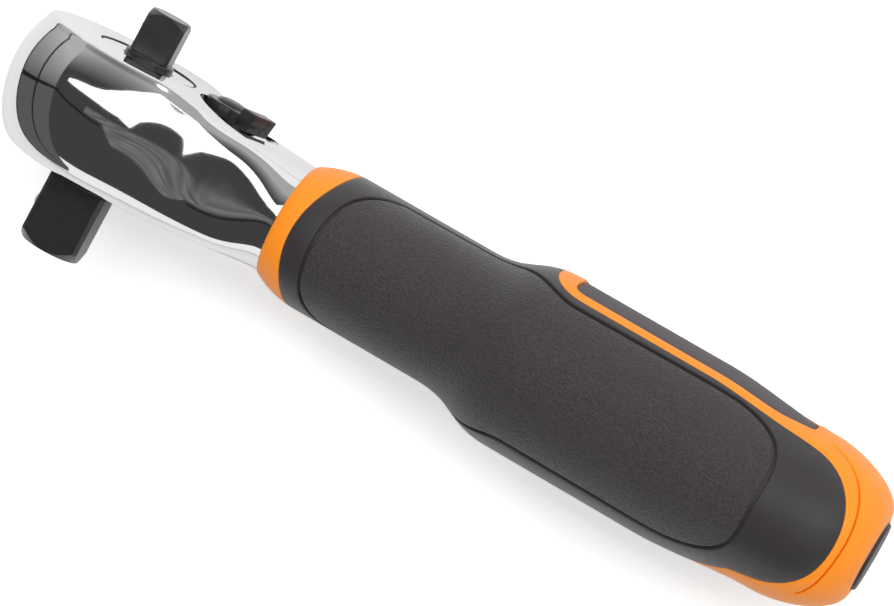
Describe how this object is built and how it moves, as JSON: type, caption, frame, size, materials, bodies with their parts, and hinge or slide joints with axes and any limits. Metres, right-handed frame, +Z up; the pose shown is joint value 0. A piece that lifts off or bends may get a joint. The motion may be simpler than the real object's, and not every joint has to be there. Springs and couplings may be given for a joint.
{
  "type": "ratchet handle",
  "caption": "Stubby ratchet handle with a drive square on each face of its round chrome head, a reversing lever and a cushioned two-colour grip",
  "frame": {"origin": "Centre of the end face of the large drive square.", "axes": "+X runs along the handle from the drive axis to the butt, +Y along the drive axis from the large square to the small square, +Z up with the tool lying on its side."},
  "size_m": [0.1508, 0.0405, 0.0368],
  "materials": {
    "chrome": "polished chrome plate on forged steel",
    "steel": "bare hardened steel",
    "black_steel": "black phosphate on hardened steel",
    "seal_rubber": "black seal rubber",
    "orange_plastic": "satin moulded orange plastic",
    "smooth_rubber": "smooth black moulded rubber",
    "grained_rubber": "finely grained black moulded rubber",
    "label_plastic": "dark grey spark-eroded plastic, left bare",
    "black_plastic": "black moulded plastic"
  },
  "bodies": {
    "handle": {"head_body": "chrome", "cover_plate": "chrome", "cover_spring_ring": "steel", "pawl_pin": "steel", "grip_core": "orange_plastic", "grip_sleeve": "smooth_rubber", "upper_side_pad": "grained_rubber", "lower_side_pad": "grained_rubber", "top_label_insert": "label_plastic", "butt_cap": "black_plastic"},
    "spindle": {"drive_spindle": "black_steel", "large_detent_spring": "steel", "small_detent_spring": "steel"},
    "large_ball": {"large_detent_ball": "steel"},
    "small_ball": {"small_detent_ball": "steel"},
    "pawl": {"pawl": "steel"},
    "lever": {"reversing_lever": "black_steel", "lever_seal_ring": "seal_rubber", "lever_spring_ring": "steel", "lever_spring": "steel"},
    "plunger": {"lever_plunger": "steel"}
  },
  "joints": [
    {"name": "spindle_turn", "type": "hinge", "parent": "handle", "child": "spindle", "pos_m": [0, 0, 0], "axis": [0, 1, 0], "continuous": true},
    {"name": "lever_flip", "type": "hinge", "parent": "handle", "child": "lever", "pos_m": [0.0168, 0, 0], "axis": [0, 1, 0], "range_deg": [0, 56]},
    {"name": "pawl_rock", "type": "hinge", "parent": "handle", "child": "pawl", "pos_m": [0.01047, 0, 0], "axis": [0, 1, 0], "range_deg": [-6.4, 0]},
    {"name": "plunger_press", "type": "slide", "parent": "lever", "child": "plunger", "axis": [0.8829, 0, 0.4695], "range_m": [0, 0.0005], "stiffness_N_per_m": 800, "springref_m": -0.0006, "deforming": ["lever_spring"]},
    {"name": "large_detent_press", "type": "slide", "parent": "spindle", "child": "large_ball", "axis": [0.9914, 0, -0.1305], "range_m": [0, 0.0009], "stiffness_N_per_m": 2000, "springref_m": -0.001, "deforming": ["large_detent_spring"]},
    {"name": "small_detent_press", "type": "slide", "parent": "spindle", "child": "small_ball", "axis": [0.9914, 0, -0.1305], "range_m": [0, 0.00045], "stiffness_N_per_m": 2000, "springref_m": -0.0008, "deforming": ["small_detent_spring"]}
  ],
  "couplings": [
    {"joint": "pawl_rock", "follows": "lever_flip", "ratio": -0.11428}
  ]
}
